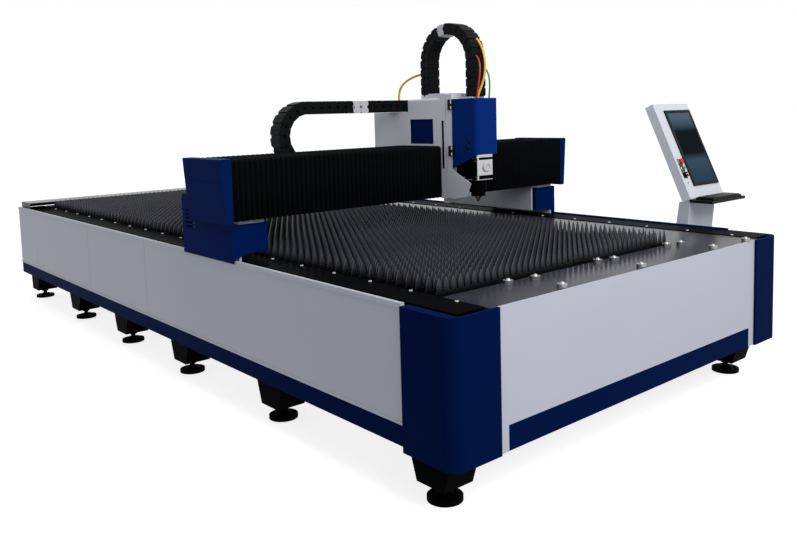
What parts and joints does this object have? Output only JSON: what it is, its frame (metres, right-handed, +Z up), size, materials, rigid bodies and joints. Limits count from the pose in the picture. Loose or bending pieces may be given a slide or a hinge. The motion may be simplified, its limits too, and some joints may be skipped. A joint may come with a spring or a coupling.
{
  "type": "fiber laser cutting machine",
  "caption": "Flat-bed laser cutting machine with a serrated slat table, travelling gantry, lifting cutting head and a free-standing control console.",
  "frame": {"origin": "centre of the bed on the floor", "axes": "+X along the bed towards its front end, +Z up"},
  "size_m": [5.412, 3.3874, 2.0457],
  "materials": {
    "white_paint": "satin",
    "grey_paint": "satin",
    "navy_paint": "satin",
    "blue_paint": "satin",
    "black_paint": "satin",
    "bare_steel": "brushed",
    "slat_steel": "mill",
    "silver": "satin",
    "copper": "polished",
    "black_fabric": "coated",
    "black_plastic": "matte",
    "screen_glass": "gloss",
    "red_plastic": "gloss",
    "green_plastic": "gloss",
    "yellow_plastic": "gloss"
  },
  "bodies": {
    "bed": {"bed_frame": "navy_paint", "cross_tubes": "navy_paint", "levelling_feet": "bare_steel", "near_side_panel": "white_paint", "far_side_panel": "white_paint", "far_edge_trim": "blue_paint", "front_panel": "white_paint", "rear_panel": "white_paint", "kick_strips": "navy_paint", "corner_covers": "navy_paint", "rail_covers": "black_paint", "deck_plates": "bare_steel", "rear_end_plate": "bare_steel", "ball_transfer_units": "bare_steel", "slats_1": "slat_steel", "slats_2": "slat_steel", "slats_3": "slat_steel", "slats_4": "slat_steel", "slat_holders": "slat_steel", "scrap_tray": "bare_steel", "bed_rails": "bare_steel", "console_stand": "white_paint", "console_cabinet": "white_paint", "keyboard_shelf": "black_plastic", "screen_bezel": "black_plastic", "screen_glass": "screen_glass", "control_plates": "black_plastic"},
    "gantry": {"near_leg": "grey_paint", "far_leg": "grey_paint", "leg_covers": "blue_paint", "gantry_beam": "grey_paint", "end_caps": "blue_paint", "near_bellows": "black_fabric", "far_bellows": "black_fabric", "cross_chain": "black_plastic"},
    "near_pinion": {"near_pinion": "bare_steel"},
    "far_pinion": {"far_pinion": "bare_steel"},
    "carriage": {"carriage_plate": "silver", "cross_motor": "black_paint", "upper_housing": "white_paint", "window_panel": "blue_paint", "rear_housing": "white_paint", "column": "white_paint", "fibre_cable": "yellow_plastic"},
    "cross_pinion": {"cross_pinion": "bare_steel"},
    "lift_screw": {"lift_screw": "bare_steel"},
    "head": {"head_slide": "white_paint", "head_side_plate": "blue_paint", "head_bracket": "black_paint", "cutting_head": "silver", "head_lower_body": "black_paint", "nozzle": "copper", "arch_chain": "black_plastic", "fibre_tail": "yellow_plastic", "red_hose": "red_plastic", "green_hose": "green_plastic"},
    "door": {"head_door": "blue_paint"},
    "stop_button": {"stop_button": "red_plastic"},
    "start_button": {"start_button": "green_plastic"},
    "selector": {"selector_switch": "black_plastic"}
  },
  "joints": [
    {"name": "gantry_travel", "type": "slide", "parent": "bed", "child": "gantry", "axis": [1, 0, 0], "range_m": [-2.83, 0.95]},
    {"name": "near_pinion_spin", "type": "hinge", "parent": "gantry", "child": "near_pinion", "pos_m": [0.8945, -1.105, 0.5], "axis": [0, 0, 1], "continuous": true},
    {"name": "far_pinion_spin", "type": "hinge", "parent": "gantry", "child": "far_pinion", "pos_m": [0.8945, 1.105, 0.5], "axis": [0, 0, 1], "continuous": true},
    {"name": "carriage_travel", "type": "slide", "parent": "gantry", "child": "carriage", "axis": [0, 1, 0], "range_m": [-1.05, 0.33], "deforming": ["near_bellows", "far_bellows", "cross_chain"]},
    {"name": "cross_pinion_spin", "type": "hinge", "parent": "carriage", "child": "cross_pinion", "pos_m": [0.96, 0.3, 1.26], "axis": [0, 0, 1], "continuous": true},
    {"name": "head_lift", "type": "slide", "parent": "carriage", "child": "head", "axis": [0, 0, 1], "range_m": [-0.12, 0.03], "deforming": ["arch_chain"]},
    {"name": "lift_screw_spin", "type": "hinge", "parent": "carriage", "child": "lift_screw", "pos_m": [1.22, 0.225, 1.2], "axis": [0, 0, 1], "continuous": true},
    {"name": "door_swing", "type": "hinge", "parent": "head", "child": "door", "pos_m": [1.293, 0.1325, 1.4], "axis": [0, 0, -1], "range_deg": [0, 100]},
    {"name": "stop_press", "type": "slide", "parent": "bed", "child": "stop_button", "axis": [-0.9111, 0, -0.4121], "range_m": [0, 0.005], "stiffness_N_per_m": 800},
    {"name": "start_press", "type": "slide", "parent": "bed", "child": "start_button", "axis": [-0.9111, 0, -0.4121], "range_m": [0, 0.005], "stiffness_N_per_m": 800},
    {"name": "selector_turn", "type": "hinge", "parent": "bed", "child": "selector", "pos_m": [1.926, 1.646, 1.05933], "axis": [0.9111, 0, 0.4121], "range_deg": [-45, 45]}
  ],
  "couplings": [
    {"joint": "near_pinion_spin", "follows": "gantry_travel", "rad_per_m": -33.333},
    {"joint": "far_pinion_spin", "follows": "gantry_travel", "rad_per_m": 33.333},
    {"joint": "cross_pinion_spin", "follows": "carriage_travel", "rad_per_m": 33.333},
    {"joint": "lift_screw_spin", "follows": "head_lift", "rad_per_m": 314.16}
  ]
}
